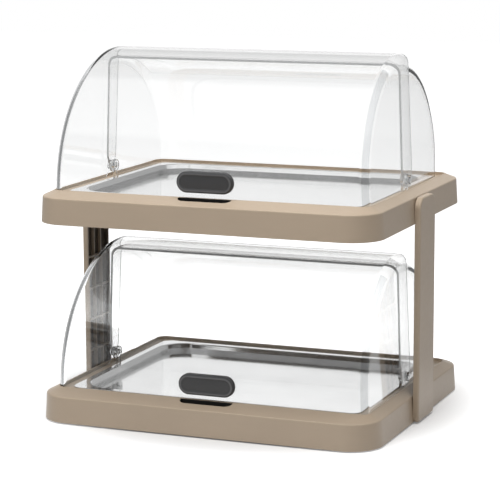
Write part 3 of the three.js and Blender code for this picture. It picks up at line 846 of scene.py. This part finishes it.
def build_shell(tier, which, front, size):
    """One clear shell, with its cut edges matt and a little darker than its faces as painted shade.
    """
    pivot = pivot_height(tier)
    foot = node_box(f"{tier}_{which}_shell")[0].z - pivot
    lean = flat_lean if front < 0 else cone_lean
    # The front shell's corners get the darker clear plastic as painted shade
    skin = [clear_plastic, clear_corner_painted_shade] if front < 0 else [clear_plastic]
    thing = hood_body(
        f"{tier}_{which}_clear_shell", size, 0, HOOD_CORNER, foot, pivot, lean, skin,
    )
    inside = hood_body(
        "inside", size, SHELL_WALL, HOOD_INNER_CORNER, foot - OVERRUN, pivot, lean, [clear_plastic],
    )
    combine(thing, inside, "DIFFERENCE")
    region = shell_region(front, foot - OVERRUN, size.reach * 2, size.half_x + OVERRUN, pivot)
    combine(thing, region, "INTERSECT")
    if which == "rear":
        start = size.half_x - SHELL_WALL / 2
        end = size.half_x + NEST_END - FRONT_LEAN * COLLAR_RADIUS - CLEARANCE
        for side in (-1, 1):
            near, far = sorted((side * start, side * end))
            collar = pivot_rod("collar", COLLAR_RADIUS, near, far, pivot, clear_plastic)
            combine(thing, collar, "UNION")
    length = size.half_x + OVERRUN
    bore = pivot_rod("bore", PIN_RADIUS + CLEARANCE, -length, length, pivot, clear_matt_edge_and_shade)
    combine(thing, bore, "DIFFERENCE")
    soften(thing, SHELL_EDGE_ROUND, SHELL_SHARP_ANGLE)
    dress(thing, f"{tier}_{which}_hood", [f"{tier}_{which}_shell"])


# Handle


def build_handle(tier, size):
    """A bar with round ends, a raised rim and a shallow dish, whose back fits the shell."""
    low, high = node_box(f"{tier}_handle")
    middle = (low + high) / 2
    half_x, _, half_z = half_sizes(low, high)
    back = -size.reach + SHELL_WALL * 2
    crown = low.y + HANDLE_CROWN
    flat = HANDLE_ROUND + HANDLE_RIM

    def section(inset, y):
        outline = ring(half_x - inset, half_z - inset, half_z - inset, 0, HANDLE_END_STEPS)
        return [Vector((p.x, y, middle.z + p.y)) for p in outline]

    rings = [section(0, back)]
    rings += [
        section(HANDLE_ROUND * (1 - math.cos(a)), crown + HANDLE_ROUND * (1 - math.sin(a)))
        for a in turns(QUARTER)
    ]
    rings += [
        section(flat - HANDLE_SINK / 2, crown),
        section(flat, crown + HANDLE_SINK / 3),
        section(flat + HANDLE_SINK, crown + HANDLE_SINK),
        section(flat + HANDLE_SINK * 2, crown + HANDLE_SINK),
    ]
    rings += [
        section(half_z * inset, crown + HANDLE_SINK * depth)
        for inset, depth in HANDLE_DISH_SHARES
    ]
    thing = paint(loft(f"{tier}_grip", rings), handle_grey, handle_rim_highlight)
    # The rim's faces get the lighter grey as a painted highlight
    for face in thing.data.polygons:
        if EDGE_STEPS <= face.index // len(rings[0]) <= EDGE_STEPS + 1:
            face.material_index = 1
    clean(thing)
    back_shape = hood_body(
        "back_shape",
        size,
        -CLEARANCE,
        HOOD_CORNER,
        -HANDLE_BACK_DEPTH,
        pivot_height(tier),
        flat_lean,
        [handle_grey],
    )
    combine(thing, back_shape, "DIFFERENCE")
    soften(thing, HANDLE_EDGE_ROUND, HANDLE_SHARP_ANGLE)
    dress(thing, f"{tier}_front_hood", [f"{tier}_handle"])


# Posts


def post_span(low, high, side):
    """Where a post's inner and outer faces are, as distances from the display's middle."""
    return (low.x, high.x) if side > 0 else (-high.x, -low.x)


def post_notch(tier):
    """A solid like a base's outside with a clearance round it, to cut out of the posts."""
    low, high = node_box(f"{tier}_base")
    half_x, half_y = (half + CLEARANCE for half in half_sizes(low, high)[:2])
    shoulder = SKIRT_DRAFT + EDGE_RADIUS
    cutter = loft("notch", [
        ring(half_x - inset, half_y - inset, BASE_CORNER, height)
        for inset, height in (
            (0, low.z - CLEARANCE),
            (SKIRT_DRAFT, low.z + SKIRT_HEIGHT),
            (shoulder, low.z + SKIRT_HEIGHT + EDGE_RADIUS + CLEARANCE),
        )
    ])
    return paint(cutter, taupe)


def build_post(side_name, side):
    """A channel with a smooth outer web, open towards the bases and notched round both."""
    low, high = node_box(f"{side_name}_post")
    _, half_y, half_z = half_sizes(low, high)
    middle = (low.z + high.z) / 2
    inner, outer = post_span(low, high, side)

    def section(inset, x):
        outline = ring(
            half_y - inset,
            half_z - inset,
            POST_CORNER - inset,
            0,
            front_corner=POST_FOOT_CORNER - inset,
        )
        return [Vector((side * x, side * p.x, middle + p.y)) for p in outline]

    rings = [section(0, inner)]
    rings += [
        section(POST_ROUND * (1 - math.cos(a)), outer - POST_ROUND * (1 - math.sin(a)))
        for a in turns(QUARTER)
    ]
    thing = paint(clean(loft(f"{side_name}_channel_post", rings)), taupe)
    hollow = loft("hollow", [
        section(POST_WALL, inner - OVERRUN),
        section(POST_WALL, outer - POST_WEB),
    ])
    # The hollow's walls take the darker taupe through the cut: painted shade inside the post
    combine(thing, paint(clean(hollow), taupe_painted_shade), "DIFFERENCE")
    for tier in TIERS:
        combine(thing, post_notch(tier), "DIFFERENCE")
    soften(thing, POST_EDGE_ROUND, POST_SHARP_ANGLE)
    dress(thing, "root", [f"{side_name}_post"])


def build_post_ribs(side_name, side):
    """The grid of ribs inside a post: two upright ones and one across at each bay."""
    low, high = node_box(f"{side_name}_post")
    half_y = half_sizes(low, high)[1]
    inner, outer = post_span(low, high, side)
    ends = (inner + POST_RIB_RECESS, outer - POST_WEB * POST_WEB_SHARE)
    half_rib = POST_RIB / 2
    reach = half_y - POST_WALL / 2
    ribs = []
    for way in (-1, 1):
        y = way * (half_y - POST_WALL) / POST_COLUMNS
        ribs.append((y - half_rib, y + half_rib, low.z + POST_WALL / 2, high.z - POST_WALL / 2))
    lower_z, upper_z = (node_box(f"{tier}_base")[0].z for tier in TIERS)
    for bay in range(POST_BAYS + 1):
        z = lower_z + POST_SCREW_HEIGHT + (upper_z - lower_z) * bay / POST_BAYS
        ribs.append((-reach, reach, z - half_rib, z + half_rib))
    vertices, faces = [], []
    for y0, y1, z0, z1 in ribs:
        start = len(vertices)
        for x in ends:
            corners = ((y0, z0), (y1, z0), (y1, z1), (y0, z1))
            vertices += [(side * x, y, z) for y, z in corners]
        faces += [tuple(start + spot for spot in face) for face in BOX_FACES]
    grid = new_object(f"{side_name}_post_ribs", vertices, faces)
    soften(grid, RIB_EDGE_ROUND, RIB_SHARP_ANGLE)
    dress(paint(grid, taupe), "root")


# Model nodes that stay as they are


def finish_model_nodes():
    """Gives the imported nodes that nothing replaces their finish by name."""
    finishes = {
        "_pack_cap": cap_white,
        "_cold_pack": pack_blue,
        "_screw": screw_steel,
        "_foot": foot_rubber,
        "_pivot_pin": clear_plastic,
        "_pivot_bracket": clear_plastic,
    }
    for name, node in frame["nodes"].items():
        for ending, material in finishes.items():
            if name.endswith(ending):
                for slot in node.material_slots:
                    slot.material = material


# Floor, light and camera


def sight(nodes):
    """Which rays show the studio: seen at all, and seen after a reflection."""
    path = nodes.add("ShaderNodeLightPath").outputs
    straight = nodes.math("MAXIMUM", path["Is Camera Ray"], path["Is Transmission Ray"])
    seen = nodes.math("MAXIMUM", straight, path["Is Glossy Ray"])
    reflected = nodes.math("GREATER_THAN", path["Glossy Depth"], REFLECTED_DEPTH)
    return seen, reflected


def towards_backdrop(nodes, direction):
    """1 towards the white backdrop behind the display, falling to 0 at its sides."""
    level = nodes.vector("MULTIPLY", direction, (1, 1, 0))
    unit = nodes.vector("NORMALIZE", level)
    along = nodes.vector("DOT_PRODUCT", unit, BACKDROP_SIDE, "Value")
    return nodes.smooth(along, (math.cos(BACKDROP_FADE), math.cos(BACKDROP_WIDTH)))


def build_floor():
    """A pale floor that keeps the display's shadow and goes up to white away from it."""
    signs = ((-1, -1), (1, -1), (1, 1), (-1, 1))
    corners = [(x * FLOOR_HALF, y * FLOOR_HALF, 0) for x, y in signs]
    floor = new_object("floor", corners, [(0, 1, 2, 3)])
    nodes = Nodes("floor_white")
    seen, reflected = sight(nodes)
    spot = nodes.add("ShaderNodeTexCoord").outputs["Object"]
    distance = nodes.vector("LENGTH", spot, result="Value")
    off_backdrop = nodes.math("SUBTRACT", 1, towards_backdrop(nodes, spot))
    far_side = nodes.math("MULTIPLY", nodes.smooth(distance, FLOOR_DARKENING), off_backdrop)
    far_reflection = nodes.math("MULTIPLY", far_side, reflected)
    kept = nodes.math("SUBTRACT", 1, nodes.math("MULTIPLY", far_reflection, 1 - STUDIO_DARK))
    seen_rise = nodes.math("MULTIPLY", nodes.smooth(distance, FLOOR_RISE, FLOOR_GLOW), seen)
    lift = nodes.math("MULTIPLY", seen_rise, kept)
    seen_grey = nodes.math("ADD", nodes.math("MULTIPLY", seen, FLOOR_SEEN_GREY), FLOOR_GREY)
    grey = nodes.math("MULTIPLY", kept, seen_grey)
    matt = nodes.add("ShaderNodeBsdfDiffuse", links={"Color": grey})
    glow = nodes.add("ShaderNodeEmission", {"Color": (1, 1, 1, 1)}, {"Strength": lift})
    nodes.show(nodes.add(
        "ShaderNodeAddShader",
        links={0: matt.outputs["BSDF"], 1: glow.outputs["Emission"]},
    ))
    paint(floor, nodes.material)


def build_world():
    """White for the camera, the studio in reflections and an even low light on the display."""
    world = bpy.data.worlds.new("studio")
    bpy.context.scene.world = world
    world.use_nodes = True
    nodes = Nodes("studio", world.node_tree, "ShaderNodeOutputWorld")
    seen, reflected = sight(nodes)
    direction = nodes.add("ShaderNodeTexCoord").outputs["Generated"]
    x, y, z = nodes.add("ShaderNodeSeparateXYZ", links={"Vector": direction}).outputs
    below_top = nodes.smooth(z, BACKDROP_TOP)
    backdrop = nodes.math("MULTIPLY", towards_backdrop(nodes, direction), below_top)
    ceiling = nodes.math("MULTIPLY", nodes.smooth(z, CEILING_EDGE), nodes.smooth(y, CEILING_BACK))
    sides = nodes.smooth(y, SIDES_TURN, (STUDIO_FRONT, STUDIO_DARK))
    studio = nodes.math("MAXIMUM", nodes.math("MAXIMUM", backdrop, ceiling), sides)
    side_loss = nodes.math("MULTIPLY", nodes.math("MULTIPLY", x, x), AMBIENT_SIDE_LOSS)
    ambient = nodes.math("SUBTRACT", AMBIENT, side_loss)
    camera_ray = nodes.add("ShaderNodeLightPath").outputs["Is Camera Ray"]
    shown = nodes.blend(reflected, 1.0, studio)
    level = nodes.blend(seen, ambient, shown)
    whole = nodes.blend(camera_ray, level, 1.0)
    nodes.show(nodes.add("ShaderNodeBackground", {"Color": (1, 1, 1, 1)}, {"Strength": whole}))


def soft_light(name, place, size, power):
    """A square soft light at place that points at the display, and shows in no gloss or glass."""
    data = bpy.data.lights.new(name, "AREA")
    data.energy = power
    data.size = size
    lamp = bpy.data.objects.new(name, data)
    lamp.location = place
    lamp.rotation_euler = (Vector(LAMP_AIM) - Vector(place)).to_track_quat("-Z", "Y").to_euler()
    lamp.visible_glossy = False
    lamp.visible_transmission = False
    bpy.context.scene.collection.objects.link(lamp)


def build_camera():
    """The camera at the photograph's viewing angle."""
    back = Vector((
        math.sin(CAMERA_AZIMUTH) * math.cos(CAMERA_ELEVATION),
        -math.cos(CAMERA_AZIMUTH) * math.cos(CAMERA_ELEVATION),
        math.sin(CAMERA_ELEVATION),
    ))
    right = (-back).cross(Vector((0, 0, 1))).normalized()
    up = right.cross(-back)
    rolled_right = right * math.cos(CAMERA_ROLL) + up * math.sin(CAMERA_ROLL)
    rolled_up = up * math.cos(CAMERA_ROLL) - right * math.sin(CAMERA_ROLL)
    data = bpy.data.cameras.new("camera")
    data.sensor_width = SENSOR
    data.lens = CAMERA_FOCAL_PIXELS / IMAGE_PIXELS * SENSOR
    data.clip_end = CAMERA_FAR
    camera = bpy.data.objects.new("camera", data)
    turn = Matrix((rolled_right, rolled_up, back)).transposed().to_4x4()
    camera.matrix_world = Matrix.Translation(CAMERA_TARGET + back * CAMERA_DISTANCE) @ turn
    bpy.context.scene.collection.objects.link(camera)
    bpy.context.scene.camera = camera


for tier in TIERS:
    build_base(tier)
    build_tray(tier)
    build_shell(tier, "front", -1, FRONT_SIZE)
    build_shell(tier, "rear", 1, REAR_SIZE)
    build_handle(tier, FRONT_SIZE)
for side_name, side in SIDES:
    build_post(side_name, side)
    build_post_ribs(side_name, side)
finish_model_nodes()
build_floor()
build_world()
soft_light("top_light", TOP_LIGHT_PLACE, TOP_LIGHT_SIZE, TOP_LIGHT_POWER)
soft_light("front_light", FRONT_LIGHT_PLACE, FRONT_LIGHT_SIZE, FRONT_LIGHT_POWER)
build_camera()
bpy.context.scene.view_settings.view_transform = "Standard"
